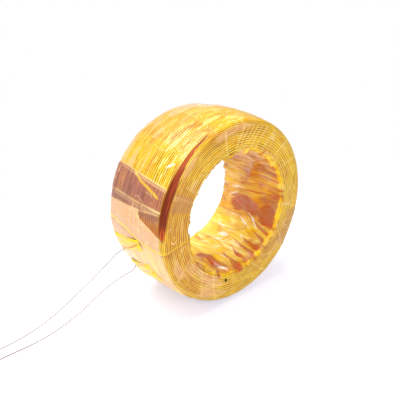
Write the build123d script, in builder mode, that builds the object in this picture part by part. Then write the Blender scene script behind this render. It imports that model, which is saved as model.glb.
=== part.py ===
"""Air-core induction coil: a hoop-wound ring of enamelled wire, bound in clear film, with two free leads.

Millimetres, +Z up. The coil stands on its rim on a small flat spot. The origin is on the ground at the
middle of that flat, the bore runs along Y, and the front face looks along -Y.
"""
from build123d import *
import os
from math import cos, pi, radians, sin, sqrt, tan

# Driving dimensions
outer_radius = 40.0  # over the film, at the crown of the rim
bore_radius = 26.4  # inside the film
width = 36.6  # over the film, front face to back face
film_build = 0.4  # all lapped layers of the binding film together
crown_drop = 2.0  # how far the barrelled rim falls towards its edges
front_shoulder = 2.6  # rounding of the front outer corner
back_shoulder = 3.3  # rounding of the back outer corner
bore_round = 0.5  # rounding of both mouths of the bore
flat_half_width = 6.5  # half of the flat spot, across the bore
pressed_film = 0.3  # film left between the turns and the ground, over the flat spot
wire_diameter = 0.3
wire_clearance = 0.1  # round a lead, where it comes through film
tab_film = 0.25  # thickness of the folded tape that anchors each lead

# Each lead leaves the turns at its root, under the film, and bends away from the rim at its exit.
# Both places are (along the bore, degrees round the rim from straight up, depth below the film's surface).
start_root = (2.0, -105.0, 1.4)
start_exit = (11.0, -109.6, 0.0)
finish_root = (9.0, -117.5, 1.4)
finish_exit = (5.6, -123.6, 0.0)

# Free routes of the two leads after their exits, chosen by hand, ending bare on the ground
start_route = [
    (-45.8, 12.0, 19.5),
    (-56.8, 12.9, 12.4),
    (-70.0, 13.8, 4.8),
    (-82.0, 14.7, 1.3),
    (-94.0, 15.4, 0.3),
    (-107.0, 14.6, 0.15),
    (-117.0, 12.5, 0.15),
]
finish_route = [
    (-40.5, 8.3, 14.9),
    (-50.5, 8.8, 10.8),
    (-57.0, 9.1, 6.9),
    (-66.0, 9.5, 2.9),
    (-76.5, 10.0, 0.4),
    (-90.0, 10.6, 0.15),
    (-103.0, 9.4, 0.15),
    (-114.0, 6.6, 0.15),
]

# Outlines of the two anchor tabs, seen square on to the rim: (along the bore, round the rim)
start_tab_outline = [(14.0, 5.4), (11.9, -1.4), (9.2, -2.0), (1.0, 1.2), (-6.3, 6.0)]
finish_tab_outline = [(10.0, 3.6), (6.9, -1.4), (4.2, -2.2), (-8.0, 1.6), (-2.6, 6.2)]

# Worked-out places
axis_height = sqrt(outer_radius**2 - flat_half_width**2)
bore_axis = Axis((0, 0, axis_height), (0, 1, 0))
section_plane = Plane(origin=(0, 0, axis_height), x_dir=(0, 1, 0), z_dir=(1, 0, 0))


def ring_section(inset):
    """Section of the ring as (along the bore, out from its axis), set in by inset on every side."""
    half = width / 2 - inset
    crown = outer_radius - inset
    edge = crown - crown_drop
    with BuildSketch(section_plane) as section:
        with BuildLine():
            ThreePointArc((-half, edge), (0, crown), (half, edge))
            Polyline((half, edge), (half, bore_radius + inset), (-half, bore_radius + inset), (-half, edge))
        make_face()
        fillet(section.vertices().group_by(Axis.X)[0].sort_by(Axis.Y)[-1], radius=front_shoulder - inset)
        fillet(section.vertices().group_by(Axis.X)[-1].sort_by(Axis.Y)[-1], radius=back_shoulder - inset)
        fillet(section.vertices().group_by(Axis.Y)[0], radius=bore_round)
    return section.sketch


def rim_radius(y):
    """Outer radius of the barrelled rim at a place along the bore."""
    half = width / 2
    arc_radius = (half**2 + crown_drop**2) / (2 * crown_drop)
    return outer_radius - arc_radius + sqrt(arc_radius**2 - y**2)


def rim_point(y, angle, depth):
    """Point at a depth below the film's outer surface."""
    radius = rim_radius(y) - depth
    return Vector(radius * sin(radians(angle)), y, axis_height + radius * cos(radians(angle)))


def rim_plane(angle):
    """Plane inside the windings that faces the rim at an angle: x runs along the bore, y round the rim."""
    outward = (sin(radians(angle)), 0, cos(radians(angle)))
    middle_of_windings = (outer_radius + bore_radius) / 2
    return Plane(origin=(0, 0, axis_height), x_dir=(0, 1, 0), z_dir=outward).offset(middle_of_windings)


def corner_radii(points):
    """Largest tangent arc for each corner: 0.45 of the shorter run over the tangent of half the turn."""
    radii = []
    for before, corner, after in zip(points, points[1:], points[2:]):
        run_in, run_out = corner - before, after - corner
        half_turn = radians(run_in.get_angle(run_out) / 2)
        radii.append(0.45 * min(run_in.length, run_out.length) / tan(half_turn))
    return radii


def lead_points(root, exit_place, route):
    """The whole route of one lead: from its root in the turns, past its exit, then its free points."""
    return [rim_point(*root), rim_point(*exit_place)] + [Vector(*point) for point in route]


def report_lead(name, points, radii, volume):
    """Print a lead's bend radii, and its volume beside its section times its path."""
    print(name, "bend radii", [round(radius, 1) for radius in radii])
    path = FilletPolyline(*points, radius=radii)
    print(name, "length", round(path.length, 2), "volume", round(volume, 4),
          "section x length", round(path.length * pi * wire_diameter**2 / 4, 4))


def round_tube(points, radii, radius):
    """Solid tube of one radius along a route of straight runs joined by tangent arcs."""
    with BuildPart() as tube:
        with BuildLine():
            FilletPolyline(*points, radius=radii)
        with BuildSketch(Plane(origin=points[0], z_dir=points[1] - points[0])):
            Circle(radius)
        sweep()
    return tube.part


start_points = lead_points(start_root, start_exit, start_route)
finish_points = lead_points(finish_root, finish_exit, finish_route)
start_radii = corner_radii(start_points)
finish_radii = corner_radii(finish_points)
start_passage = round_tube(start_points, start_radii, wire_diameter / 2 + wire_clearance)
finish_passage = round_tube(finish_points, finish_radii, wire_diameter / 2 + wire_clearance)
winding_section = ring_section(film_build)
film_section = ring_section(0)
tab_section = ring_section(-tab_film)

os.makedirs("parts", exist_ok=True)

# The wound ring: all turns of wire as one solid, pressed flat where the coil stands
with BuildPart() as winding:
    revolve(winding_section, axis=bore_axis)
    split(bisect_by=Plane.XY.offset(pressed_film), keep=Keep.TOP)
winding.part.label = "winding"
export_step(winding.part, "parts/winding.step")

# The binding film: one skin all round the ring's section, flat where the coil stands
with BuildPart() as film_wrap:
    revolve(film_section, axis=bore_axis)
    split(bisect_by=Plane.XY, keep=Keep.TOP)
    add(winding.part, mode=Mode.SUBTRACT)
    add(start_passage, mode=Mode.SUBTRACT)
    add(finish_passage, mode=Mode.SUBTRACT)
film_wrap.part.label = "film_wrap"
export_step(film_wrap.part, "parts/film_wrap.step")

# Folded tape over the start lead's exit
with BuildPart() as start_lead_tab:
    revolve(tab_section, axis=bore_axis)
    revolve(film_section, axis=bore_axis, mode=Mode.SUBTRACT)
    with BuildSketch(rim_plane(start_exit[1])):
        Polygon(*start_tab_outline, align=None)
    extrude(amount=outer_radius, mode=Mode.INTERSECT)
    add(start_passage, mode=Mode.SUBTRACT)
start_lead_tab.part.label = "start_lead_tab"
export_step(start_lead_tab.part, "parts/start_lead_tab.step")

# Folded tape over the finish lead's exit
with BuildPart() as finish_lead_tab:
    revolve(tab_section, axis=bore_axis)
    revolve(film_section, axis=bore_axis, mode=Mode.SUBTRACT)
    with BuildSketch(rim_plane(finish_exit[1])):
        Polygon(*finish_tab_outline, align=None)
    extrude(amount=outer_radius, mode=Mode.INTERSECT)
    add(finish_passage, mode=Mode.SUBTRACT)
finish_lead_tab.part.label = "finish_lead_tab"
export_step(finish_lead_tab.part, "parts/finish_lead_tab.step")

# The lead from the first, inner turn
with BuildPart() as start_lead:
    add(round_tube(start_points, start_radii, wire_diameter / 2))
start_lead.part.label = "start_lead"
export_step(start_lead.part, "parts/start_lead.step")
report_lead("start_lead", start_points, start_radii, start_lead.part.volume)

# The lead from the last, outer turn
with BuildPart() as finish_lead:
    add(round_tube(finish_points, finish_radii, wire_diameter / 2))
finish_lead.part.label = "finish_lead"
export_step(finish_lead.part, "parts/finish_lead.step")
report_lead("finish_lead", finish_points, finish_radii, finish_lead.part.volume)
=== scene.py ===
"""Looks for an air-core induction coil: a hoop-wound ring of enamelled wire, bound in glossy amber film.

Metres, +Z up, the frame's own axes: the bore runs along Y, the front face looks along -Y, and the coil
stands on z = 0. A place on the ring is (angle, across): angle is in degrees round the ring from straight
up, positive towards +X, and across is the distance in millimetres round the ring's section, 0 at the
front shoulder, positive over the rim towards the back, negative down the front face into the bore.
"""

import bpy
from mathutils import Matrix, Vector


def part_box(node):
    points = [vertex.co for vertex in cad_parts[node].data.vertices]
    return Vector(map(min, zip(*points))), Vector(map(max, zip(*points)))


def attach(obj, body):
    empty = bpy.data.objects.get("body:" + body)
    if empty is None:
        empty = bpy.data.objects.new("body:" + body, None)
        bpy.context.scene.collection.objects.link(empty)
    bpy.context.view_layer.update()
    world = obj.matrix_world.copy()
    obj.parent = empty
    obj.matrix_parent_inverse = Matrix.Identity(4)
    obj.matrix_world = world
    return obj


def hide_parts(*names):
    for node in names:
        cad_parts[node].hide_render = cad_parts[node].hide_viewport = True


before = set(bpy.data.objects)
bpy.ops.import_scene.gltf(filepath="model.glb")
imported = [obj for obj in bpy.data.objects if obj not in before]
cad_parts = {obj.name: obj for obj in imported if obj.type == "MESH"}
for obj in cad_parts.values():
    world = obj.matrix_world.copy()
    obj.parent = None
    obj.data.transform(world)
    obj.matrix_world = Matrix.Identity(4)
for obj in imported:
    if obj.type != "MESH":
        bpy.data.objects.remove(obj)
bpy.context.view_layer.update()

import math

import bmesh
import bpy
import numpy as np
from mathutils import Matrix, Vector

bl_info = {
    "name": "Film-bound Air-core Coil",
    "version": (1, 0, 0),
    "blender": (4, 5, 0),
    "location": "View3D > Sidebar > Coil",
    "description": "Builds a hoop-wound coil with its binding film, lead tabs, free leads and stage",
    "category": "Mesh",
}

MM = 0.001
CAD_LOW, CAD_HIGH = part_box("film_wrap")
OUTER_RADIUS = (CAD_HIGH.x - CAD_LOW.x) / 2
WIDTH = CAD_HIGH.y - CAD_LOW.y
AXIS_HEIGHT = CAD_HIGH.z - OUTER_RADIUS
WINDING_LOW, WINDING_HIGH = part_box("winding")
FILM_BUILD = (WIDTH - (WINDING_HIGH.y - WINDING_LOW.y)) / 2
PRESSED_FILM = WINDING_LOW.z
# Radii in mm at which widths round the ring are measured: over the rim and faces, and in the bore
RIM_ARM = 38
BORE_ARM = 27
# Places across the ring where the bore begins and ends
FRONT_MOUTH = -11.6
BACK_MOUTH = -47.2
# Columns of each mesh round the ring
TURN_COLUMNS = 256
FILM_COLUMNS = 596

LEAD_DIAMETER = 0.0003
# The leads' routes, from the root in the turns to the bare end
START_ROUTE = [
    (-0.0372, 0.0020, 0.0295), (-0.0370, 0.0110, 0.0263), (-0.0458, 0.0120, 0.0195),
    (-0.0568, 0.0129, 0.0124), (-0.0700, 0.0138, 0.0048), (-0.0820, 0.0147, 0.0013),
    (-0.0940, 0.0154, 0.0003), (-0.1070, 0.0146, 0.00016), (-0.1170, 0.0125, 0.00016),
]
FINISH_ROUTE = [
    (-0.0340, 0.0090, 0.0218), (-0.0332, 0.0056, 0.0174), (-0.0405, 0.0083, 0.0149),
    (-0.0505, 0.0088, 0.0108), (-0.0570, 0.0091, 0.0069), (-0.0660, 0.0095, 0.0029),
    (-0.0765, 0.0100, 0.0004), (-0.0900, 0.0106, 0.00016), (-0.1030, 0.0094, 0.00016),
    (-0.1140, 0.0066, 0.00016),
]
# The anchor tabs' long edges and the leads' ways under them, as (angle, across)
START_TAB = ([(-101.0, 34.0), (-98.0, 24.0), (-95.3, 14.0)], [(-111.0, 30.0), (-105.5, 20.0), (-100.7, 11.7)],
             [(-98.0, 14.5), (-103.5, 20.5), (-109.0, 29.0)])
FINISH_TAB = ([(-117.0, 27.0), (-113.5, 18.0), (-110.0, 11.0)], [(-125.0, 25.0), (-124.0, 15.0), (-122.0, 7.0)],
              [(-117.0, 13.0), (-120.0, 19.0), (-123.0, 24.0)])


def linear(red, green, blue):
    """A colour given as 0-255 display values, as the linear values that sockets take."""
    def one(value):
        value = value / 255
        return value / 12.92 if value <= 0.04045 else ((value + 0.055) / 1.055) ** 2.4
    return (one(red), one(green), one(blue))


def length(name, description, default):
    return bpy.props.FloatProperty(name=name, description=description, default=default, unit="LENGTH",
                                   precision=5)


def colour(name, description, default):
    return bpy.props.FloatVectorProperty(name=name, description=description, default=linear(*default),
                                         subtype="COLOR", size=3, min=0.0, max=1.0)


# ---------------------------------------------------------------------------------------------------
# What a user would change
# ---------------------------------------------------------------------------------------------------

class RingSizes(bpy.types.PropertyGroup):
    """The ring's section, which the windings and the film share."""
    bore_radius: length("Bore radius", "Inside the film", 26.4 * MM)
    crown_drop: length("Crown drop", "Fall of the barrelled rim towards its edges", 2.0 * MM)
    front_shoulder: length("Front shoulder", "Rounding of the front outer corner", 2.6 * MM)
    back_shoulder: length("Back shoulder", "Rounding of the back outer corner", 3.3 * MM)
    bore_round: length("Bore round", "Rounding of the bore's two mouths", 0.5 * MM)
    turn_pitch: length("Turn pitch", "Spacing of the rows of wire that show", 0.95 * MM)
    turn_height: length("Turn height", "How far a row stands above the groove beside it", 0.16 * MM)


class WireColours(bpy.types.PropertyGroup):
    """Enamelled copper, with painted shade in the grooves and on the bare turns, and painted light on parts of
    these.
    """
    bright: colour("Bright turn", "Top of a turn in the light", (246, 188, 60))
    # Painted shade: the groove colour stands in for the shade between two turns.
    groove: colour("Groove", "Between two turns", (140, 66, 14))
    # The bare turns: enamelled copper where the film is gone, made darker by painted shade; bare_end is painted
    # light.
    bare: colour("Bare shoulder", "Turns that the film leaves bare", (126, 44, 12))
    bare_end: colour("Bare shoulder end", "The bare turns' lit lower end", (224, 96, 26))
    lead: colour("Lead", "The free leads", (92, 36, 22))


class FilmColours(bpy.types.PropertyGroup):
    """Amber film, by how it lies, with painted light and shade in several of its colours."""
    tight: colour("Tight film", "One layer drawn tight over the turns", (250, 208, 38))
    gold: colour("Gold film", "Two layers, or one over shaded turns", (228, 154, 34))
    # Painted highlight: tight film painted creamy where it catches the light.
    cream_highlight: colour("Creamy film", "Tight film that catches the light", (255, 238, 128))
    pale: colour("Pale film", "Film lying proud and catching the sky", (226, 180, 136))
    dusk: colour("Dusky film", "Film lying proud over shaded copper", (158, 98, 86))
    deep: colour("Deep film", "Many layers, or a fold", (250, 204, 14))
    # Partly real, copper close behind the film, and partly painted shade along the lining's creases.
    ember: colour("Ember film", "Creases with copper close behind", (204, 80, 12))
    copper: colour("Copper film", "Smooth film over smooth copper", (192, 108, 50))
    # Painted highlight: the pale light along the tape's cut edges, creases and pleats.
    lip_highlight: colour("Film edge", "The cut edge of the tape", (252, 222, 150))
    glint: colour("Glint", "Where the lining throws back the light", (255, 250, 236))
    # Painted shade: the shade in the gap between two rows, seen through the film.
    line: colour("Line", "The gap between two rows, seen through the film", (140, 72, 12))
    speck: colour("Speck", "A speck of dirt in front of the film", (24, 14, 12))


class StageSettings(bpy.types.PropertyGroup):
    """Camera, lamps and floor."""
    azimuth: bpy.props.FloatProperty(name="Azimuth", description="Camera's bearing, from straight in front",
                                     default=math.radians(-41.34), subtype="ANGLE")
    elevation: bpy.props.FloatProperty(name="Elevation", description="Camera's height angle",
                                       default=math.radians(22.82), subtype="ANGLE")
    distance: length("Distance", "From the camera to the ring's centre", 0.2092)
    aside: length("Aside", "How far right of the view's middle the ring's centre stands", 3.9 * MM)
    below: length("Below", "How far under the view's middle the ring's centre stands", 0.34 * MM)
    lens: bpy.props.FloatProperty(name="Lens", description="Focal length in millimetres", default=44.4)
    key_watts: bpy.props.FloatProperty(name="Key", description="Power of the key lamp", default=2.2)
    fill_watts: bpy.props.FloatProperty(name="Fill", description="Power of the fill lamp", default=1.3)
    sky: bpy.props.FloatProperty(name="Sky", description="Strength of the world's light", default=0.62)
    floor: colour("Floor", "The white sheet that the coil stands on", (246, 246, 252))


# ---------------------------------------------------------------------------------------------------
# The ring's section and surface
# ---------------------------------------------------------------------------------------------------

def section_loop(sizes, inset, rim_step, face_step, bore_step):
    """Closed loop of the ring's section.

    The rim is a shallow arc that falls by crown_drop at the faces. Each shoulder is an arc tangent to the
    rim and to its face; the faces are straight; the bore's mouths are small arcs and the bore is straight.
    Returns (along, out, normal_along, normal_out, across): places along the bore and out from its axis in
    millimetres, the outward normal, and the arc length with 0 in the middle of the front shoulder. The
    bore's values are negative, and across has one value more than the rest, which closes the loop.
    """
    half = WIDTH / MM / 2
    drop = sizes.crown_drop / MM
    arc = (half ** 2 + drop ** 2) / (2 * drop)
    outer = OUTER_RADIUS / MM
    bore = sizes.bore_radius / MM
    mouth = sizes.bore_round / MM
    pieces = []

    def add(along, out, normal_along, normal_out):
        pieces.append(np.stack(np.broadcast_arrays(along, out, normal_along, normal_out)).astype(float))

    def tangent(shoulder):
        touch = (half - shoulder) / (1 - shoulder / arc)
        lean = math.asin(touch / arc)
        centre_out = outer - arc + math.sqrt(arc ** 2 - touch ** 2) - shoulder * math.cos(lean)
        return touch, lean, centre_out

    front = sizes.front_shoulder / MM
    back = sizes.back_shoulder / MM
    front_touch, front_lean, front_out = tangent(front)
    back_touch, back_lean, back_out = tangent(back)

    def steps(total, step):
        return np.linspace(0, 1, max(2, int(round(total / step)) + 1))[:-1]

    t = steps(front_touch + back_touch, rim_step)
    along = -front_touch + t * (front_touch + back_touch)
    lean = np.arcsin(along / arc)
    add(along, outer - arc + arc * np.cos(lean), np.sin(lean), np.cos(lean))
    t = steps(back * (math.pi / 2 - back_lean), rim_step)
    a = back_lean + t * (math.pi / 2 - back_lean)
    add(half - back + back * np.sin(a), back_out + back * np.cos(a), np.sin(a), np.cos(a))
    t = steps(back_out - bore - mouth, face_step)
    add(half, back_out - t * (back_out - bore - mouth), 1, 0)
    t = steps(mouth * math.pi / 2, 0.26)
    a = t * math.pi / 2
    add(half - mouth + mouth * np.cos(a), bore + mouth - mouth * np.sin(a), np.cos(a), -np.sin(a))
    t = steps(2 * (half - mouth), bore_step)
    add(half - mouth - t * 2 * (half - mouth), bore, 0, -1)
    t = steps(mouth * math.pi / 2, 0.26)
    a = t * math.pi / 2
    add(-half + mouth - mouth * np.sin(a), bore + mouth - mouth * np.cos(a), -np.sin(a), -np.cos(a))
    t = steps(front_out - bore - mouth, face_step)
    add(-half, bore + mouth + t * (front_out - bore - mouth), -1, 0)
    t = steps(front * (math.pi / 2 - front_lean), rim_step)
    a = t * (math.pi / 2 - front_lean)
    shoulder_count = len(t)
    add(-half + front - front * np.cos(a), front_out + front * np.sin(a), -np.cos(a), np.sin(a))

    along, out, normal_along, normal_out = np.concatenate(pieces, axis=1)
    step = np.hypot(np.diff(along, append=along[0]), np.diff(out, append=out[0]))
    across = np.concatenate([[0], np.cumsum(step)])
    total = across[-1]
    across = across + total - across[len(along) - shoulder_count // 2]
    back_mouth = sum(piece.shape[1] for piece in pieces[:3])
    across[back_mouth:] -= total
    return along - normal_along * inset, out - normal_out * inset, normal_along, normal_out, across


def ring_points(along, out, angle, floor):
    """Points of the surface swept round the bore's axis, nowhere lower than floor. Arguments broadcast."""
    turn = np.radians(angle)
    x = out * np.sin(turn) * MM
    y = along * MM + 0 * x
    z = np.maximum(AXIS_HEIGHT + out * np.cos(turn) * MM, floor)
    return np.stack([x, y, z], axis=-1)


def grid_object(name, points, loop_u, loop_v, uv_sets=None, attributes=None, material=None):
    """Mesh of quads on a grid of points, closed in u or v where asked, with UVs on the grid's own corners.

    points is (u, v, 3). A UV set is (u + 1, v + 1, 2) on a closed grid, so that the seam's last column
    has its own values. attributes are (u, v) values on the points.
    """
    nu, nv = points.shape[:2]
    cells_u = nu if loop_u else nu - 1
    cells_v = nv if loop_v else nv - 1
    i, j = np.meshgrid(np.arange(cells_u), np.arange(cells_v), indexing="ij")
    i, j = i.ravel(), j.ravel()
    corner_u = np.stack([i, i + 1, i + 1, i], axis=1)
    corner_v = np.stack([j, j, j + 1, j + 1], axis=1)
    index = (corner_u % nu) * nv + (corner_v % nv)
    mesh = bpy.data.meshes.new(name)
    mesh.vertices.add(nu * nv)
    mesh.vertices.foreach_set("co", points.reshape(-1).astype(np.float32))
    mesh.loops.add(index.size)
    mesh.loops.foreach_set("vertex_index", index.ravel().astype(np.int32))
    mesh.polygons.add(len(index))
    mesh.polygons.foreach_set("loop_start", np.arange(0, index.size, 4, dtype=np.int32))
    mesh.polygons.foreach_set("loop_total", np.full(len(index), 4, dtype=np.int32))
    for layer_name, values in (uv_sets or {}).items():
        layer = mesh.uv_layers.new(name=layer_name)
        layer.data.foreach_set("uv", values[corner_u, corner_v].reshape(-1).astype(np.float32))
    for attribute_name, values in (attributes or {}).items():
        layer = mesh.attributes.new(attribute_name, "FLOAT", "POINT")
        layer.data.foreach_set("value", np.broadcast_to(values, (nu, nv)).ravel().astype(np.float32))
    mesh.update(calc_edges=True)
    mesh.validate()
    mesh.polygons.foreach_set("use_smooth", np.ones(len(index), dtype=bool))
    obj = bpy.data.objects.new(name, mesh)
    bpy.context.scene.collection.objects.link(obj)
    if material:
        mesh.materials.append(material)
    return obj


# ---------------------------------------------------------------------------------------------------
# Fields on the ring: smooth masks in (angle, across)
# ---------------------------------------------------------------------------------------------------

def smooth(edge0, edge1, value):
    """Smooth step from 0 at edge0 to 1 at edge1."""
    t = np.clip((value - edge0) / (edge1 - edge0), 0, 1)
    return t * t * (3 - 2 * t)


def band(value, low, high, soft):
    """1 between low and high, fading to 0 over soft outside them."""
    return smooth(low - soft, low, value) * (1 - smooth(high, high + soft, value))


def turn_from(angle, centre):
    """Signed degrees from centre to angle, the short way round."""
    return (angle - centre + 180) % 360 - 180


def path_angle(across, path):
    """Angle of a line across the ring, given by a few (across, angle) places."""
    places = sorted(path)
    return np.interp(across, [p[0] for p in places], [p[1] for p in places])


def line(angle, across, path, width, reach=(-1000, 1000), fade=1.5):
    """Bell-shaped ridge, width mm wide, along a line across the ring, inside a reach of across values."""
    away = np.radians(turn_from(angle, path_angle(across, path))) * RIM_ARM
    return np.exp(-(away / width) ** 2) * band(across, reach[0], reach[1], fade)


def between(angle, across, first, second, soft=0.5):
    """1 where the angle lies between two lines across the ring, with soft mm edges."""
    a = np.radians(turn_from(angle, path_angle(across, first))) * RIM_ARM
    b = np.radians(turn_from(angle, path_angle(across, second))) * RIM_ARM
    return smooth(-soft, soft, a) * (1 - smooth(-soft, soft, b))


def value_noise(angle, across, cells_round, cell_across, seed):
    """Smooth noise from -1 to 1: random values on a lattice, cells_round cells round the ring and one
    cell each cell_across mm across it, blended with smooth steps. It closes on itself round the ring."""
    rows = 64
    values = np.random.default_rng(seed).uniform(-1, 1, (cells_round, rows))
    u = (angle % 360) / 360 * cells_round
    v = across / cell_across
    u0, v0 = np.floor(u).astype(int), np.floor(v).astype(int)
    fu, fv = u - u0, v - v0
    fu, fv = fu * fu * (3 - 2 * fu), fv * fv * (3 - 2 * fv)
    u1, v1 = (u0 + 1) % cells_round, (v0 + 1) % rows
    u0, v0 = u0 % cells_round, v0 % rows
    near = values[u0, v0] * (1 - fu) + values[u1, v0] * fu
    far = values[u0, v1] * (1 - fu) + values[u1, v1] * fu
    return near * (1 - fv) + far * fv


def creases(angle, across, cells_round, cell_across, seed, lean=3.0):
    """Sharp ridges from 0 to 1 where value noise crosses zero, leaning to and fro by lean degrees."""
    leaning = angle + lean * value_noise(angle, across, 13, 11.0, seed + 50)
    return 1 - np.minimum(1, 2.2 * np.abs(value_noise(leaning, across, cells_round, cell_across, seed)))


# Lines where the tape's edges and folds cross the ring, as (across, angle)
UPPER_EDGE = [(30, -57.5), (3.5, -61.5), (0, -63.5), (-10.8, -64.5)]
MIDDLE_EDGE = [(29, -73.0), (3, -74.5)]
LOWER_EDGE = [(28, -78.5), (13, -77.3), (4, -76.0)]
SLANT_EDGE = [(14, -77.0), (13, -81.8), (6.5, -85.8), (1.0, -90.7)]
YELLOW_CREASE = [(21.3, -59.4), (16.7, -62.4), (9.7, -65.3), (5.5, -67.5)]
MAIN_FOLD = [(35, -89.9), (22, -91.3), (14, -95.4), (7, -97.6), (2, -98.3), (-1, -97.5), (-10.8, -95.5)]
UNDER_FOLD = [(34, -101.0), (22, -105.5), (10, -101.0), (2, -103.5)]

EDGE_SEED = 11
TURN_SEED = 5
# Folds in the bore's lining: (angle at the front mouth, angle at the back, width mm, height mm, length mm)
LINING_FOLDS = [
    (50, 58, 1.3, 0.7, 20), (63, 66, 1.1, 0.9, 30), (70, 64, 1.0, 0.6, 22), (80, 77, 1.4, 1.0, 34),
    (87.5, 91, 1.1, 0.8, 24), (97, 95, 1.3, 0.9, 30), (127, 104, 0.7, 0.9, 30), (135, 139, 1.3, 0.8, 24),
    (143, 150, 1.1, 0.9, 20), (152, 140, 1.2, 1.0, 26), (161, 170, 1.3, 0.7, 18), (170, 158, 1.2, 0.9, 24),
    (196, 186, 0.8, 0.8, 30), (207, 214, 0.9, 0.8, 28), (216, 208, 0.9, 0.6, 26),
]
# Creases in the lining where copper shows close behind: (angle at the mouth, at the end, width mm, length mm)
LINING_EMBERS = [
    (57, 62, 3.0, 11), (68.5, 66, 1.9, 8), (76, 71, 0.75, 26), (91.5, 88, 2.0, 7), (84, 87, 0.6, 21),
    (92.5, 95, 0.7, 20), (118, 122, 2.6, 6), (131, 122, 1.2, 13), (139, 132, 1.4, 9), (148, 143, 1.5, 12),
    (156, 150, 1.3, 14), (166, 158, 1.6, 14), (177, 168, 2.4, 14), (203, 198, 0.9, 12), (217, 226, 1.4, 9),
    (238, 231, 1.6, 12), (262, 268, 1.3, 16), (284, 279, 1.8, 10), (309, 316, 1.4, 14), (334, 327, 1.6, 12),
    (5, 12, 1.3, 14), (28, 22, 1.8, 11), (42, 47, 1.0, 17),
]
# Pleats on the front face, gathered towards the bore: (angle at the shoulder, angle at the bore)
FACE_PLEATS = [(-14, -16), (2.5, -7), (7, -3), (11, 1), (15.5, 4), (19, 9), (23.5, 15), (31, 24), (46, 42)]
# Fine film edges on the front face, as above
FACE_EDGES = [(-147, -133), (-160, -149), (-120, -112), (62, 58), (101, 96), (133, 118), (152, 161)]
# Smooth patches: (angle, across, half-size in angle, half-size in across)
COPPER_PATCHES = [(110, -30.5, 10, 9.5), (112, -18, 11, 5), (188, -26, 6.5, 8)]
# Where the lining throws back the light: (angle, across, angle, across, width mm)
LINING_GLINTS = [
    (117, -27, 128, -20.5, 0.9), (124, -31, 132, -23, 0.5), (148, -30, 150, -35, 1.5),
    (155, -32, 161, -36, 0.9), (142, -35, 139, -41, 0.7), (139, -26, 147, -22, 0.4),
    (100, -36, 106, -42, 0.5), (171, -19, 174, -27, 0.6),
    (-51, 7.5, -47.5, 4.5, 0.5), (-45, 3.4, -41, 3, 0.25),
    (93, -33, 95, -40, 0.4), (186, -14, 192, -22, 0.6), (232, -22, 238, -34, 0.8), (300, -18, 304, -30, 0.7),
]
RIM_PALE_PATCHES = [(14, 30, 34, 13), (48, 10, 16, 9), (-22, 35, 30, 3.2), (-47, 36, 9, 2.0),
                    (100, 12, 22, 9)]


def row_phase(angle, across):
    """Count of wire rows across the ring: across over the pitch, with uneven spacing and slow wander."""
    uneven = 0.55 * np.sin(across / 2.9) + 0.8 * np.sin(across / 7.1 + 1.0)
    wander = (0.75 * value_noise(angle, across, 7, 9.0, TURN_SEED)
              + 0.2 * value_noise(angle, across, 23, 3.0, 8))
    pitch = bpy.context.scene.coil_ring.turn_pitch / MM
    return across / pitch + uneven + wander


def across_places(across):
    """Masks of the ring's sides, from the distance across: rim, front face, bore, back face."""
    rim = band(across, 1.5, 36.5, 1.5)
    front = band(across, -11.0, -1.0, 1.0)
    bore = (1 - smooth(-12.6, -11.4, across)) * smooth(-47.8, -46.0, across)
    back = smooth(38.5, 40.5, across)
    return rim, front, bore, back


def bare_shoulder(angle, across):
    """Where the front shoulder's turns lie bare: a stripe that starts thin and widens downwards."""
    low = path_angle(angle, [(-92, 0.5), (-84, -0.6), (-60, -0.9), (-45, 0.2), (-28, 1.2), (-10, 1.6)])
    high = path_angle(angle, [(-92, 1.2), (-84, 2.8), (-60, 2.6), (-45, 2.3), (-28, 1.9), (-10, 1.6)])
    wide = smooth(-0.35, 0.25, across - low) * (1 - smooth(-0.25, 0.35, across - high))
    return wide * band(angle, -88, -26, 5)


# ---------------------------------------------------------------------------------------------------
# Materials
# ---------------------------------------------------------------------------------------------------

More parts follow.
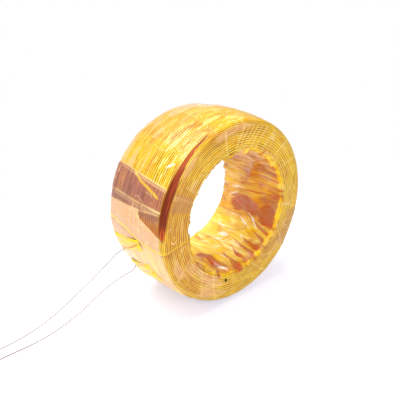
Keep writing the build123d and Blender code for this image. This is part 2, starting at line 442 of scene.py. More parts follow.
class Nodes:
    """A material's node tree, with short calls to add what these materials share."""

    def __init__(self, name):
        self.material = bpy.data.materials.new(name)
        self.material.use_nodes = True
        self.tree = self.material.node_tree
        self.tree.nodes.clear()
        self.output = self.tree.nodes.new("ShaderNodeOutputMaterial")

    def node(self, kind, inputs=None, **settings):
        node = self.tree.nodes.new("ShaderNode" + kind)
        for key, value in settings.items():
            setattr(node, key, value)
        for key, value in (inputs or {}).items():
            socket = node.inputs[key]
            if isinstance(value, bpy.types.NodeSocket):
                self.tree.links.new(value, socket)
            else:
                socket.default_value = value
        return node

    def attribute(self, name):
        return self.node("Attribute", attribute_name=name).outputs["Fac"]

    def maths(self, operation, first, second=0.0):
        return self.node("Math", {0: first, 1: second}, operation=operation).outputs[0]

    def mix(self, share, first, second):
        """The colour that goes from first to second as share goes from 0 to 1."""
        def rgba(value):
            return value if isinstance(value, bpy.types.NodeSocket) else (*value, 1.0)
        # Inputs 6 and 7 and output 2 are the Mix node's two colours and its colour result
        return self.node("Mix", {0: share, 6: rgba(first), 7: rgba(second)}, data_type="RGBA").outputs[2]

    def uv_noise(self, layer, scale_round, scale_across, detail=3.0):
        """Noise on a UV layer, stretched round or across the ring."""
        uv = self.node("UVMap", uv_map=layer).outputs["UV"]
        stretched = self.node("Mapping", {"Vector": uv, "Scale": (scale_round, scale_across, 1.0)})
        noise = self.node("TexNoise", {"Vector": stretched.outputs[0], "Scale": 1.0, "Detail": detail},
                          noise_dimensions="2D")
        return noise.outputs["Fac"]

    def row_noise(self, scale_round, offset):
        """Noise that differs from one wire row to the next and drifts along each row."""
        uv = self.node("UVMap", uv_map="rows").outputs["UV"]
        parts = self.node("SeparateXYZ", {0: uv})
        row = self.maths("MULTIPLY", self.maths("FLOOR", parts.outputs["Y"]), 3.71)
        place = self.node("CombineXYZ", {0: self.maths("MULTIPLY", parts.outputs["X"], scale_round),
                                         1: self.maths("ADD", row, offset)})
        return self.node("TexNoise", {"Vector": place.outputs[0], "Scale": 1.0, "Detail": 1.0},
                         noise_dimensions="2D").outputs["Fac"]

    def groove(self):
        """0 on top of a wire row and 1 in the groove beside it, from the rows' UV layer."""
        uv = self.node("UVMap", uv_map="rows").outputs["UV"]
        phase = self.node("SeparateXYZ", {0: uv}).outputs["Y"]
        centred = self.maths("SUBTRACT", self.maths("FRACT", phase), 0.5)
        return self.maths("MULTIPLY", self.maths("ABSOLUTE", centred), 2.0)

    def ramp(self, value, low, high):
        """Smooth step of a value from 0 at low to 1 at high."""
        node = self.node("MapRange", {"Value": value, "From Min": low, "From Max": high},
                         interpolation_type="SMOOTHSTEP")
        return node.outputs["Result"]

    def finish(self, shader):
        self.tree.links.new(shader.outputs[0], self.output.inputs["Surface"])
        return self.material


def winding_material(colours):
    """Enamelled copper: bright turns, painted shade in the grooves, dark red where the turns lie bare."""
    n = Nodes("enamelled_wire")
    groove = n.groove()
    streak = n.row_noise(22.0, 0.3)
    top = n.mix(n.ramp(streak, 0.35, 0.65), colours.bright, [c * 0.66 for c in colours.bright])
    # Painted shade: the grooves between turns take the dark groove colour.
    body = n.mix(n.ramp(groove, 0.4, 0.9), top, colours.groove)
    # Painted light: the bare turns are brighter where the bare_end attribute marks their lit parts.
    bare = n.mix(n.attribute("bare_end"), colours.bare, colours.bare_end)
    bare = n.mix(n.ramp(streak, 0.45, 0.6), bare, [c * 1.7 for c in colours.bare])
    # Painted shade in the bare turns' grooves.
    bare = n.mix(n.ramp(groove, 0.45, 0.85), bare, [c * 0.25 for c in colours.bare])
    body = n.mix(n.attribute("bare"), body, bare)
    shader = n.node("BsdfPrincipled", {"Base Color": body, "Roughness": 0.45,
                                       "Specular IOR Level": 0.2})
    return n.finish(shader)


def film_material(colours):
    """Amber film: clearer where it is drawn tight, pale with a painted sky reflection in some places and
    dusky with painted shade in others where it lies proud, deep in its folds.

    The gaps between the rows of wire are drawn through the film as painted shade, each with its own
    strength, and the same pattern raises the surface a little. Painted highlights and glints lie on top.
    """
    n = Nodes("binding_film")
    fine = n.uv_noise("film", 110.0, 190.0)
    in_bore = n.attribute("bore")
    rows_streak = n.uv_noise("film", 24.0, 170.0, 4.0)
    streak = n.mix(in_bore, rows_streak, n.uv_noise("film", 46.0, 9.0, 4.0))
    wrinkle = n.uv_noise("film", 60.0, 26.0, 4.0)
    gap = n.ramp(n.groove(), 0.35, 0.8)
    strong = n.ramp(n.row_noise(19.0, 0.0), 0.5, 0.6)
    light = n.ramp(n.row_noise(31.0, 40.0), 0.5, 0.66)
    shows = n.attribute("rows_show")

    tight = n.mix(n.ramp(streak, 0.46, 0.74), colours.tight, colours.gold)
    tight = n.mix(n.attribute("gold"), tight, n.mix(n.ramp(streak, 0.42, 0.6), colours.gold, colours.copper))
    light = n.mix(in_bore, light, n.ramp(n.uv_noise("film", 40.0, 12.0, 4.0), 0.3, 0.75))
    # Painted highlight: creamy streaks along the rows of tight film.
    tight = n.mix(n.maths("MULTIPLY", light, n.attribute("cream_highlight")), tight, colours.cream_highlight)
    pale = n.mix(n.ramp(streak, 0.46, 0.7), colours.pale, n.mix(0.5, colours.pale, colours.gold))
    # Painted highlight on the tops of wrinkles in proud film.
    pale = n.mix(n.ramp(wrinkle, 0.6, 0.85), pale, colours.lip_highlight)
    dusk = n.mix(n.ramp(streak, 0.46, 0.64), colours.dusk, n.mix(0.45, colours.dusk, colours.gold))
    body = n.mix(n.attribute("pale"), tight, pale)
    body = n.mix(n.attribute("dusk"), body, dusk)
    body = n.mix(n.attribute("copper"), body, n.mix(n.ramp(wrinkle, 0.45, 0.8), colours.copper, colours.ember))
    body = n.mix(n.attribute("ember"), body, n.mix(n.ramp(wrinkle, 0.4, 0.6), colours.ember, colours.copper))
    body = n.mix(n.attribute("shade"), body, [c * 0.55 for c in colours.dusk])
    body = n.mix(n.attribute("deep"), body, colours.deep)
    # Painted shade in the gaps between the rows of wire, seen through the film.
    depth = n.maths("MULTIPLY", gap, n.maths("ADD", n.maths("MULTIPLY", strong, 0.5), 0.45))
    body = n.mix(n.maths("MULTIPLY", depth, shows), body, colours.line)
    # Painted highlight along tape edges, creases and pleats.
    body = n.mix(n.attribute("lip_highlight"), body, colours.lip_highlight)
    body = n.mix(n.attribute("glint"), body, colours.glint)

    rows = n.maths("MULTIPLY", n.maths("MULTIPLY", gap, shows), -0.7)
    height = n.maths("ADD", n.maths("ADD", n.maths("MULTIPLY", fine, 0.3), wrinkle), rows)
    bump = n.node("Bump", {"Height": height, "Strength": 0.55, "Distance": 0.0003})
    cover = n.attribute("cover")
    coat = n.maths("MULTIPLY", cover, n.maths("ADD", n.maths("MULTIPLY", in_bore, 0.45), 0.4))
    shader = n.node("BsdfPrincipled", {"Base Color": body, "Alpha": cover, "Roughness": 0.32,
                                       "Specular IOR Level": 0.25, "Coat Weight": coat,
                                       "Coat Roughness": 0.14, "Normal": bump.outputs[0]})
    return n.finish(shader)


def tab_material(colours):
    """Folded film: several layers of the same tape, so a deeper yellow, with the lead showing through."""
    n = Nodes("folded_film")
    fine = n.uv_noise("film", 7.0, 9.0)
    body = n.mix(n.ramp(fine, 0.5, 0.8), colours.deep, colours.gold)
    # Painted reflection: the pale film colour is laid at half strength into the ripples' troughs.
    body = n.mix(n.maths("MULTIPLY", n.attribute("fold"), 0.5), body, colours.pale)
    body = n.mix(n.attribute("thread"), body, [c * 0.8 for c in colours.ember])
    bump = n.node("Bump", {"Height": fine, "Strength": 0.4, "Distance": 0.0003})
    shader = n.node("BsdfPrincipled", {"Base Color": body, "Alpha": 0.96, "Roughness": 0.35,
                                       "Specular IOR Level": 0.25, "Coat Weight": 0.3,
                                       "Coat Roughness": 0.08, "Normal": bump.outputs[0]})
    return n.finish(shader)


def lead_material(colours):
    """Enamel on the free leads, a little uneven along their length."""
    n = Nodes("lead_enamel")
    place = n.node("TexCoord").outputs["Object"]
    noise = n.node("TexNoise", {"Vector": place, "Scale": 180.0, "Detail": 2.0}).outputs["Fac"]
    body = n.mix(n.ramp(noise, 0.35, 0.65), colours.lead, [c * 1.35 for c in colours.lead])
    return n.finish(n.node("BsdfPrincipled", {"Base Color": body, "Roughness": 0.3, "Coat Weight": 0.5,
                                              "Coat Roughness": 0.1}))


def floor_material(settings):
    """White sheet that shows as white, and keeps the coil's shadow and its cool tint.

    Away from the coil it fades to plain white, so no horizon shows.
    """
    n = Nodes("white_sheet")
    place = n.node("TexCoord").outputs["Object"]
    apart = n.ramp(n.node("VectorMath", {0: place}, operation="LENGTH").outputs["Value"], 0.07, 0.16)
    lit = n.node("BsdfDiffuse", {"Color": (*settings.floor, 1.0)})
    dimmed = n.mix(apart, [c * 0.62 for c in settings.floor], (0.0, 0.0, 0.0))
    seen = n.node("BsdfDiffuse", {"Color": dimmed})
    whitened = n.mix(apart, (0.44, 0.45, 0.53), (1.0, 1.0, 1.0))
    glow = n.node("Emission", {"Color": whitened, "Strength": 1.0})
    both = n.node("AddShader")
    n.tree.links.new(seen.outputs[0], both.inputs[0])
    n.tree.links.new(glow.outputs[0], both.inputs[1])
    path = n.node("LightPath")
    looked_at = n.maths("MAXIMUM", path.outputs["Is Camera Ray"],
                        n.maths("MAXIMUM", path.outputs["Is Glossy Ray"], path.outputs["Is Transmission Ray"]))
    mixed = n.node("MixShader", {0: looked_at})
    n.tree.links.new(lit.outputs[0], mixed.inputs[1])
    n.tree.links.new(both.outputs[0], mixed.inputs[2])
    return n.finish(mixed)


# ---------------------------------------------------------------------------------------------------
# Pieces
# ---------------------------------------------------------------------------------------------------

def make_camera(settings):
    """Camera on a bearing and height about the ring's centre, which stands a little aside of its axis."""
    turn, lift = settings.azimuth, settings.elevation
    ahead = Vector((-math.sin(turn) * math.cos(lift), math.cos(turn) * math.cos(lift), -math.sin(lift)))
    right = Vector((math.cos(turn), math.sin(turn), 0.0))
    upward = right.cross(ahead)
    centre = Vector((0.0, 0.0, AXIS_HEIGHT))
    place = centre - settings.distance * ahead - settings.aside * right + settings.below * upward
    data = bpy.data.cameras.new("camera")
    data.lens = settings.lens
    data.clip_start = 0.005
    camera = bpy.data.objects.new("camera", data)
    camera.matrix_world = Matrix((
        (right.x, upward.x, -ahead.x, place.x),
        (right.y, upward.y, -ahead.y, place.y),
        (right.z, upward.z, -ahead.z, place.z),
        (0, 0, 0, 1)))
    bpy.context.scene.collection.objects.link(camera)
    bpy.context.scene.camera = camera


def make_lead(name, route, diameter, node, material):
    """A free lead: one smooth NURBS line of order 3 with the route's points as its control points."""
    curve = bpy.data.curves.new(name, "CURVE")
    curve.dimensions = "3D"
    curve.bevel_depth = diameter / 2
    curve.bevel_resolution = 3
    curve.resolution_u = 16
    curve.use_fill_caps = True
    spline = curve.splines.new("NURBS")
    spline.points.add(len(route) - 1)
    for point, place in zip(spline.points, route):
        point.co = (*place, 1.0)
    spline.order_u = 3
    spline.use_endpoint_u = True
    lead = bpy.data.objects.new(name, curve)
    curve.materials.append(material)
    bpy.context.scene.collection.objects.link(lead)
    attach(lead, "root")
    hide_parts(node)
    return lead


def make_winding(sizes, colours):
    """The turns: the ring's section swept round the bore, with a rounded ridge for each row of wire."""
    along, out, normal_along, normal_out, across = section_loop(sizes, FILM_BUILD / MM, 0.19, 0.19, 1.4)
    angle = np.linspace(-180, 180, TURN_COLUMNS + 1)
    phase = row_phase(angle[:, None], across[None, :])
    grid_angle, grid_across = angle[:-1, None], across[None, :-1]
    bore = across_places(grid_across)[2]
    rng = np.random.default_rng(TURN_SEED)
    raised = rng.uniform(-1, 1, 512)[np.floor(phase[:-1, :-1]).astype(int) % 512]
    raised = raised * (0.6 + 0.4 * value_noise(grid_angle, grid_across, 9, 4.0, 21))
    ridge = np.sqrt(np.abs(np.sin(math.pi * phase[:-1, :-1])))
    height = (sizes.turn_height / MM) * (ridge - 1) + 0.05 * raised
    height = height * (1 - bore) - 0.05
    points = ring_points(along + normal_along * height, out + normal_out * height, grid_angle, PRESSED_FILM)
    uv = np.stack(np.broadcast_arrays(angle[:, None] / 360 + 0.5, phase), axis=-1)
    bare = bare_shoulder(grid_angle, grid_across)
    # Painted light: where the bare turns are painted lit, at the stripe's lower end and along its upper part.
    lit = np.clip(1 - smooth(-88, -80, grid_angle) + 0.6 * smooth(-60, -44, grid_angle), 0, 1)
    winding = grid_object("turns", points, True, True, {"rows": uv}, {"bare": bare, "bare_end": bare * lit},
                          winding_material(colours))
    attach(winding, "root")
    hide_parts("winding")


def film_fields(angle, across):
    """Height of the film over its base in mm, and the masks that its material reads, on the grid."""
    rim, front, bore, back = across_places(across)
    noise = value_noise(angle, across, 40, 5.0, 3)
    slow = value_noise(angle, across, 11, 9.0, 4)
    mottle = 0.6 * value_noise(angle, across, 26, 7.0, 31) + 0.6 * value_noise(angle, across, 22, 1.9, 32)

    # Tape edges: they raise the film, and the same lines carry a painted highlight.
    lip_highlight = np.maximum.reduce([
        0.8 * line(angle, across, UPPER_EDGE, 0.3, (-10, 31)),
        0.6 * line(angle, across, [(w, a - 1.4) for w, a in UPPER_EDGE], 0.26, (-3, 31)),
        0.8 * line(angle, across, MIDDLE_EDGE, 0.36, (3, 31)),
        0.5 * line(angle, across, [(w, a - 1.6) for w, a in MIDDLE_EDGE], 0.3, (6, 31)),
        0.6 * line(angle, across, LOWER_EDGE, 0.3, (4, 29)),
        0.75 * line(angle, across, SLANT_EDGE, 0.3, (1, 14)),
    ]) * (0.65 + 0.45 * noise)
    crease = line(angle, across, YELLOW_CREASE, 0.42, (6, 21))
    fold = line(angle, across, MAIN_FOLD, 0.42, (-11, 35))
    fold_sides = line(angle, across, [(w, a - 1.3) for w, a in MAIN_FOLD], 0.3, (-11, 35))
    pleats = np.maximum.reduce([line(angle, across, [(-1, a), (-11, b)], 0.4, (-11, -2.5), 2.0)
                                for a, b in FACE_PLEATS])
    face_edges = np.maximum.reduce([line(angle, across, [(-1, a), (-11, b)], 0.3, (-11, 0), 1.0)
                                    for a, b in FACE_EDGES])
    tape_edges, tint = tape_panels(angle, across)

    # Lining: long creases over the whole bore, then the separate folds
    long_creases = creases(angle, across, 30, 17.0, 61)
    short_creases = creases(angle, across, 62, 8.0, 62, 6.0)
    billow = value_noise(angle, across, 17, 10.0, 63)
    lining = 1.2 * long_creases + 0.4 * short_creases + 0.4 * (1 + billow)
    folds = 0 * angle * across
    for front_angle, back_angle, width, high, reach in LINING_FOLDS + hidden_lining_folds():
        ridge = line(angle, across, [(FRONT_MOUTH, front_angle), (BACK_MOUTH, back_angle)], width,
                     (FRONT_MOUTH - reach, -11.9), 6.0)
        folds = np.maximum(folds, high * ridge)
    ember = 0 * angle * across
    for mouth_angle, end_angle, width, reach in LINING_EMBERS:
        path = [(FRONT_MOUTH, mouth_angle), (FRONT_MOUTH - reach, end_angle)]
        taper = width * (1 - 0.75 * smooth(0, reach, FRONT_MOUTH - across)) * (1 + 0.5 * noise)
        away = np.abs(np.radians(turn_from(angle, path_angle(across, path) + 1.3 * noise))) * BORE_ARM
        inside = 1 - smooth(0.55, 1.05, away / np.maximum(taper, 0.35))
        ember = np.maximum(ember, inside * band(across, FRONT_MOUTH - reach, -11.4, 2.0))
    # Painted shade: orange-brown lines along the lining's long and short creases, on top of the copper-backed
    # creases above.
    ember = np.maximum(ember * (0.85 + 0.15 * noise),
                       bore * smooth(0.84, 1.0, long_creases) * (0.45 + 0.4 * slow))
    ember = np.maximum(ember, 0.45 * bore * smooth(0.88, 1.0, short_creases) * smooth(-0.1, 0.4, -billow))
    crackle = smooth(0.86, 1.0, creases(angle, across, 64, 5.0, 81, 9.0))
    crackle = crackle * smooth(0.0, 0.45, value_noise(angle, across, 24, 8.0, 82)) * (1 - bore)
    glint = 0 * angle * across
    for first_angle, first, last_angle, last, width in LINING_GLINTS:
        share = np.clip((across - first) / (last - first), 0, 1)
        beside = np.radians(turn_from(angle, first_angle + (last_angle - first_angle) * share)) * BORE_ARM
        beyond = across - (first + (last - first) * share)
        uneven = 1 + 0.6 * value_noise(angle, across, 70, 2.5, 64)
        thick = width * (0.25 + 0.75 * np.sin(math.pi * share)) * uneven
        glint = np.maximum(glint, 1 - smooth(0.45, 1.0, np.hypot(beside, beyond) / thick))
    mouth = band(across, -12.4, -11.0, 0.5)

    copper = 0 * angle * across
    for centre, middle, half_angle, half_across in COPPER_PATCHES:
        away = np.hypot(turn_from(angle, centre) / half_angle, (across - middle) / half_across)
        copper = np.maximum(copper, 1 - smooth(0.7, 1.1, away + 0.3 * noise + 0.25 * (short_creases - 0.5)))
    pale_patch = 0 * angle * across
    for centre, middle, half_angle, half_across in RIM_PALE_PATCHES:
        away = np.hypot(turn_from(angle, centre) / half_angle, (across - middle) / half_across)
        pale_patch = np.maximum(pale_patch, 1 - smooth(0.7, 1.1, away + 0.5 * mottle))

    bare = bare_shoulder(angle, across)
    rim_part = smooth(2.2, 3.0, across) * (1 - back)
    # Painted shade: proud film over shaded copper, painted dusky between the middle and upper tape edges.
    dusk = between(angle, across, MIDDLE_EDGE, UPPER_EDGE, 0.3) * rim_part
    darker = between(angle, across, LOWER_EDGE, MIDDLE_EDGE, 0.3) * rim_part
    under_slant = between(angle, across, SLANT_EDGE, LOWER_EDGE, 0.3) * band(across, 1.5, 13, 1.0)
    darker = np.maximum(darker, 0.85 * under_slant * smooth(-83.5, -78.5, angle))
    # Painted reflection: proud film painted pale where it catches the sky, on the rim's back and lower left and
    # in patches.
    pale = between(angle, across, UNDER_FOLD, LOWER_EDGE, 0.3) * rim_part * (1 - under_slant)
    far_rim = smooth(96, 116, np.abs(turn_from(angle, 0))) * rim_part
    lower_left = band(angle, -158, -100, 5) * smooth(0.5, 2.5, across) * (1 - back)
    pale = np.maximum(pale, far_rim * smooth(-0.35, 0.25, slow + 0.5 * mottle) * 0.9)
    pale = np.maximum(pale, lower_left * (0.85 + 0.15 * mottle))
    pale = np.maximum(pale, pale_patch * rim_part)
    pale = np.maximum(pale, 0.7 * smooth(0.2, 0.5, mottle) * smooth(10, 24, across) * rim_part)
    beside_stripe = smooth(-40, 20, np.abs(turn_from(angle, -60)))
    pale = np.maximum(pale, 0.55 * smooth(0.15, 0.45, mottle) * front * beside_stripe)
    face_dusk = (0.5 * band(angle, -72, -62, 2) * front
                 + 0.5 * band(angle, 104, 128, 5) * band(across, -6, 1, 1.5))
    dusk = np.clip(np.maximum(dusk, face_dusk), 0, 1)
    # Painted light: the bore's floor, lit through its mouths, is painted creamier and less gold.
    lit_bore_floor = band(angle, 128, 176, 9) * band(across, -60, -17, 4) * bore
    gold = 0.9 * under_slant + 0.6 * np.maximum(tint, 0) * rim + 0.5 * front * smooth(0.0, 0.5, slow)
    # Gold in the lining's lower places, kept off the floor that is painted lit.
    gold = np.maximum(np.clip(gold, 0, 1), bore * smooth(-0.2, 0.6, -billow)) * (1 - 0.8 * lit_bore_floor)
    gold = np.maximum(gold, band(angle, -150, -60, 10) * front * 0.55)
    # Painted highlight: creamy over the rim's upper left, on the bore's lit floor, and faintly everywhere.
    cream_highlight = np.clip(rim * band(angle, -56, 5, 6) * (0.35 + 0.65 * band(across, 2, 12, 5)), 0, 1)
    cream_highlight = np.maximum(cream_highlight, 0.25 + 0.2 * mottle)
    cream_highlight = np.maximum(cream_highlight, 0.8 * lit_bore_floor)
    # Painted shade: the bore's right wall, turned from the light, is painted gold.
    gold = np.maximum(gold, 0.7 * bore * band(angle, 20, 122, 8))
    copper = np.maximum(copper, 0.75 * under_slant * (1 - smooth(-83.5, -78.5, angle)))
    shade = 0.5 * darker * smooth(0.0, 0.5, value_noise(angle, across, 30, 1.7, 35) + 0.25)
    shade = np.maximum(shade, 0.55 * fold_sides)
    shade = np.maximum(shade, dusk * rim_part * 0.6 * smooth(0.3, 0.6, value_noise(angle, across, 26, 1.6, 36)))

    streaks = smooth(0.2, 0.5, value_noise(angle + 1.1 * across, across, 34, 6.0, 37))
    gathers = smooth(-0.3, 0.4, value_noise(angle, across, 70, 9.0, 38))
    deep = np.maximum.reduce([fold, 0.85 * crease, 0.8 * far_rim * smooth(0.3, 0.55, mottle),
                              0.75 * lower_left * streaks, 0.9 * mouth * gathers,
                              0.5 * bore * smooth(0.25, 0.6, billow)])
    tight = np.clip(1 - pale - dusk - darker - bore, 0, 1)
    proud = np.maximum.reduce([pale, dusk, darker])
    lift = (0.30 * fold + 0.16 * lip_highlight + 0.14 * crease + 0.34 * pleats + 0.14 * face_edges
            + 0.2 * tape_edges + 0.12 * crackle)
    lift = lift + 0.12 * noise * (0.35 + proud) + 0.1 * slow
    lift = lift + 0.22 * proud * creases(angle, across, 40, 9.0, 71) ** 2
    lift = lift + bore * (lining + folds * 0.8) + 0.3 * mouth * value_noise(angle, across, 84, 9.0, 73)
    lift = lift + 0.22 * (1 - bore) * value_noise(angle, across, 19, 12.0, 74)
    lift = np.maximum(lift * (1 - 0.8 * bare), -0.08)
    crackle = crackle * (1 + band(angle, -96, -52, 6) * front)
    # Painted highlight along the tape edges, fine creases, pleats, face edges and the lining's raised creases,
    # and in streaks on the rim's lower left.
    lip_highlight = np.maximum.reduce([
        lip_highlight, 0.5 * crackle, 0.4 * lower_left * (1 - streaks) * (0.6 + 0.4 * mottle),
        0.5 * pleats * (1 - bore), 0.5 * face_edges, 0.45 * tape_edges,
        0.45 * bore * smooth(0.75, 1.0, short_creases) * smooth(0.1, 0.5, billow)])
    cover = 0.72 + 0.2 * np.maximum(proud, bore) + 0.2 * lip_highlight + 0.2 * deep
    cover = np.clip(cover * (1 - smooth(0.1, 0.8, bare)), 0, 0.98)
    masks = {"pale": pale, "dusk": np.maximum(dusk, darker), "copper": copper, "ember": ember, "deep": deep,
             "gold": gold, "cream_highlight": cream_highlight, "shade": shade, "lip_highlight": lip_highlight, "cover": cover,
             "bore": bore, "glint": glint,
             # rows_show: how strongly the rows show, by their painted shade and their bump.
             "rows_show": (tight + 0.75 * dusk + 0.4 * darker + 0.8 * under_slant + 0.16 * pale) * (1 - bore)}
    return lift, {name: np.clip(values, 0, 1) for name, values in masks.items()}


def hidden_lining_folds():
    """Folds round the rest of the lining: one every 11 degrees or so, leaning and sized unevenly."""
    rng = np.random.default_rng(EDGE_SEED)
    folds = []
    for start in np.arange(228, 405, 11.0):
        mouth = start + rng.uniform(-3, 3)
        folds.append((mouth, mouth + rng.uniform(-12, 12), rng.uniform(0.8, 1.5), rng.uniform(0.4, 1.0),
                      rng.uniform(16, 34)))
    return folds


def tape_panels(angle, across):
    """Edges of the lapped tape round the rest of the rim, slanting, some 17 degrees apart, and the tint
    from -1 to 1 of the panel that follows each edge."""
    rng = np.random.default_rng(EDGE_SEED + 1)
    seen = 1 - 0.65 * band(angle, -58, 62, 6) * band(across, -2, 40, 4) - 0.4 * band(across, -12, -2, 1)
    paths = []
    for start in np.arange(-55, 245, 17.0):
        lean = rng.uniform(2, 9)
        bow = rng.uniform(-2, 2)
        start = start + rng.uniform(-3, 3)
        paths.append([(-11, start), (0, start + bow), (18, start + lean / 2), (37, start + lean),
                      (48, start + lean)])
    edges = 0 * angle * across
    tint = 0 * angle * across
    for path, following in zip(paths[:-1], paths[1:]):
        edges = np.maximum(edges, rng.uniform(0.4, 1.0) * line(angle, across, path, 0.3, (-11, 48)))
        tint = tint + rng.uniform(-1, 1) * between(angle, across, path, following, 0.3)
    return edges * seen, tint


def make_film(sizes, colours):
    """The binding film: one closed skin over the turns, raised at its edges, folds and pleats."""
    along, out, normal_along, normal_out, across = section_loop(sizes, 0.2, 0.6, 0.5, 0.75)
    angle = np.linspace(-180, 180, FILM_COLUMNS + 1)
    lift, masks = film_fields(angle[:-1, None], across[None, :-1])
    points = ring_points(along + normal_along * lift, out + normal_out * lift, angle[:-1, None], 0.0)
    round_share = np.broadcast_to(angle[:, None] / 360 + 0.5, (FILM_COLUMNS + 1, len(across)))
    tint = tape_panels(angle[:, None], across[None, :])[1]
    phase = row_phase(angle[:, None], across[None, :]) + 0.7 * tint
    uv = np.stack([round_share, np.broadcast_to(across / 100, round_share.shape)], axis=-1)
    rows = np.stack([round_share, phase], axis=-1)
    film = grid_object("binding_film", points, True, True, {"film": uv, "rows": rows}, masks,
                       film_material(colours))
    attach(film, "root")
    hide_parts("film_wrap")


def make_tab(name, node, upper, lower, thread, sizes, colours):
    """An anchor tab: a strip of folded tape lying over the rim, rippled along its length.

    upper and lower are the strip's long edges and thread is the lead's way under it, as (angle, across)
    places. The strip stands on the film, raised by sine ripples and turned down along its edges.
    """
    along, out, normal_along, normal_out, across = section_loop(sizes, 0.0, 0.46, 0.42, 0.62)
    rim = slice(0, int(np.argmax(across > 38)))
    s, t = np.meshgrid(np.linspace(0, 1, 40), np.linspace(0, 1, 90), indexing="ij")

    def along_edge(edge, column):
        return np.interp(t, np.linspace(0, 1, len(edge)), [place[column] for place in edge])

    angle = along_edge(upper, 0) * (1 - s) + along_edge(lower, 0) * s
    place = along_edge(upper, 1) * (1 - s) + along_edge(lower, 1) * s
    border = np.minimum.reduce([s, 1 - s, t, 1 - t])
    fold = np.sin(math.pi * (2.3 * s + 1.4 * t)) ** 2
    lift = 0.05 + smooth(0, 0.12, border) * (0.46 + 0.22 * fold)
    under = np.interp(place, [w for a, w in thread], [a for a, w in thread])
    marked = np.exp(-(np.radians(turn_from(angle, under)) * 39 / 0.26) ** 2)
    marked = marked * band(place, thread[0][1], thread[-1][1], 0.4)
    flat = [np.interp(place, across[rim], values[rim]) for values in (along, out, normal_along, normal_out)]
    points = ring_points(flat[0] + flat[2] * lift, flat[1] + flat[3] * lift, angle, 0.0)
    tab = grid_object(name, points, False, False, {"film": np.stack([s, t], axis=-1)},
                      {"fold": (1 - fold) ** 4, "thread": marked}, tab_material(colours))
    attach(tab, "root")
    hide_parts(node)


def make_speck(sizes, colours):
    """A speck of dirt on the front face near the bore: a small flat dome, longer towards the bore."""
    s, t = np.meshgrid(np.linspace(1, 0, 14), np.arange(-180, 180, 15), indexing="ij")
    uneven = 1 + 0.12 * np.sin(np.radians(3 * t + 40))
    out = sizes.bore_radius / MM + 2.1 + 0.72 * s * uneven * np.cos(np.radians(t))
    angle = -165.4 + np.degrees(0.42 * s * uneven * np.sin(np.radians(t)) / out)
    lift = 0.6 * np.sqrt(1 - s ** 2)
    points = ring_points(-WIDTH / MM / 2 - lift, out, angle, 0.0)
    n = Nodes("dirt")
    speck = grid_object("speck", points, False, True, material=n.finish(
        n.node("BsdfPrincipled", {"Base Color": (*colours.speck, 1.0), "Roughness": 0.7})))
    shape = bmesh.new()
    shape.from_mesh(speck.data)
    bmesh.ops.remove_doubles(shape, verts=shape.verts, dist=1e-7)
    shape.to_mesh(speck.data)
    shape.free()
    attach(speck, "root")


def make_lamp(name, place, target, size, watts):
    """A square area lamp at a place, turned to a target."""
    data = bpy.data.lights.new(name, "AREA")
    data.size = size
    data.energy = watts
    lamp = bpy.data.objects.new(name, data)
    lamp.location = place
    lamp.rotation_euler = (Vector(target) - Vector(place)).to_track_quat("-Z", "Y").to_euler()
    bpy.context.scene.collection.objects.link(lamp)


def make_stage(settings):
    """White floor, plain white world, a large soft key lamp overhead and a weaker fill at the front left."""
    size = 1.5
    points = np.array([[[-size, -size, 0], [-size, size, 0]], [[size, -size, 0], [size, size, 0]]])
    floor = grid_object("floor", points, False, False, material=floor_material(settings))
    world = bpy.data.worlds.new("studio")
    bpy.context.scene.world = world
    world.use_nodes = True
    tree = world.node_tree
    background = tree.nodes["Background"]
    path = tree.nodes.new("ShaderNodeLightPath")
    seen = tree.nodes.new("ShaderNodeMath")
    seen.operation = "MAXIMUM"
    tree.links.new(path.outputs["Is Camera Ray"], seen.inputs[0])
    tree.links.new(path.outputs["Is Transmission Ray"], seen.inputs[1])
    strength = tree.nodes.new("ShaderNodeMapRange")
    strength.inputs["To Min"].default_value = settings.sky
    strength.inputs["To Max"].default_value = 1.0
    tree.links.new(seen.outputs[0], strength.inputs["Value"])
    tree.links.new(strength.outputs[0], background.inputs["Strength"])
    background.inputs["Color"].default_value = (1.0, 1.0, 1.0, 1.0)
    centre = (0.0, 0.0, AXIS_HEIGHT)
    make_lamp("key", (-0.07, 0.09, 0.42), centre, 0.36, settings.key_watts)
    make_lamp("fill", (-0.22, -0.4, 0.3), centre, 0.25, settings.fill_watts)
    bpy.context.scene.view_settings.view_transform = "Standard"


# ---------------------------------------------------------------------------------------------------
# Operators, panel and registration
# ---------------------------------------------------------------------------------------------------

class COIL_OT_stage(bpy.types.Operator):
    """Make the camera, lamps, world and floor"""
    bl_idname = "coil.stage"
    bl_label = "Stage"

    def execute(self, context):
        make_camera(context.scene.coil_stage)
        make_stage(context.scene.coil_stage)
        return {"FINISHED"}


class COIL_OT_leads(bpy.types.Operator):
    """Make the two free leads"""
    bl_idname = "coil.leads"
    bl_label = "Leads"

    def execute(self, context):
        material = lead_material(context.scene.coil_wire)
        start = make_lead("start_wire", START_ROUTE, LEAD_DIAMETER, "start_lead", material)
        finish = make_lead("finish_wire", FINISH_ROUTE, LEAD_DIAMETER, "finish_lead", material)
        return {"FINISHED"}


class COIL_OT_winding(bpy.types.Operator):
    """Make the wound turns"""
    bl_idname = "coil.winding"
    bl_label = "Winding"

    def execute(self, context):
        make_winding(context.scene.coil_ring, context.scene.coil_wire)
        return {"FINISHED"}


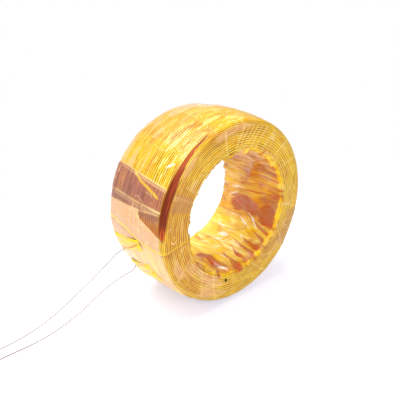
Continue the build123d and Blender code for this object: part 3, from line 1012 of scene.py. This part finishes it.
class COIL_OT_film(bpy.types.Operator):
    """Make the binding film and the speck of dirt on it"""
    bl_idname = "coil.film"
    bl_label = "Binding film"

    def execute(self, context):
        make_film(context.scene.coil_ring, context.scene.coil_film)
        make_speck(context.scene.coil_ring, context.scene.coil_film)
        return {"FINISHED"}


class COIL_OT_tabs(bpy.types.Operator):
    """Make the folded tape over both lead exits"""
    bl_idname = "coil.tabs"
    bl_label = "Lead tabs"

    def execute(self, context):
        sizes, colours = context.scene.coil_ring, context.scene.coil_film
        make_tab("start_tab_fold", "start_lead_tab", *START_TAB, sizes, colours)
        make_tab("finish_tab_fold", "finish_lead_tab", *FINISH_TAB, sizes, colours)
        return {"FINISHED"}


class COIL_PT_panel(bpy.types.Panel):
    """Sizes, colours and the operators that build each piece"""
    bl_idname = "COIL_PT_panel"
    bl_label = "Film-bound coil"
    bl_space_type = "VIEW_3D"
    bl_region_type = "UI"
    bl_category = "Coil"

    def draw(self, context):
        scene = context.scene
        for group in (scene.coil_ring, scene.coil_wire, scene.coil_film, scene.coil_stage):
            box = self.layout.box()
            for name in group.bl_rna.properties.keys():
                if name not in {"rna_type", "name"}:
                    box.prop(group, name)
        for operator in OPERATORS:
            self.layout.operator(operator.bl_idname)


OPERATORS = (COIL_OT_stage, COIL_OT_leads, COIL_OT_winding, COIL_OT_film, COIL_OT_tabs)
GROUPS = {"coil_ring": RingSizes, "coil_wire": WireColours, "coil_film": FilmColours,
          "coil_stage": StageSettings}


def register():
    for cls in (*GROUPS.values(), *OPERATORS, COIL_PT_panel):
        bpy.utils.register_class(cls)
    for name, group in GROUPS.items():
        setattr(bpy.types.Scene, name, bpy.props.PointerProperty(type=group))


def unregister():
    for name in GROUPS:
        delattr(bpy.types.Scene, name)
    for cls in reversed((*GROUPS.values(), *OPERATORS, COIL_PT_panel)):
        bpy.utils.unregister_class(cls)


def main():
    """Build everything."""
    register()
    bpy.ops.coil.stage()
    bpy.ops.coil.leads()
    bpy.ops.coil.winding()
    bpy.ops.coil.film()
    bpy.ops.coil.tabs()


if __name__ == "__main__":
    main()
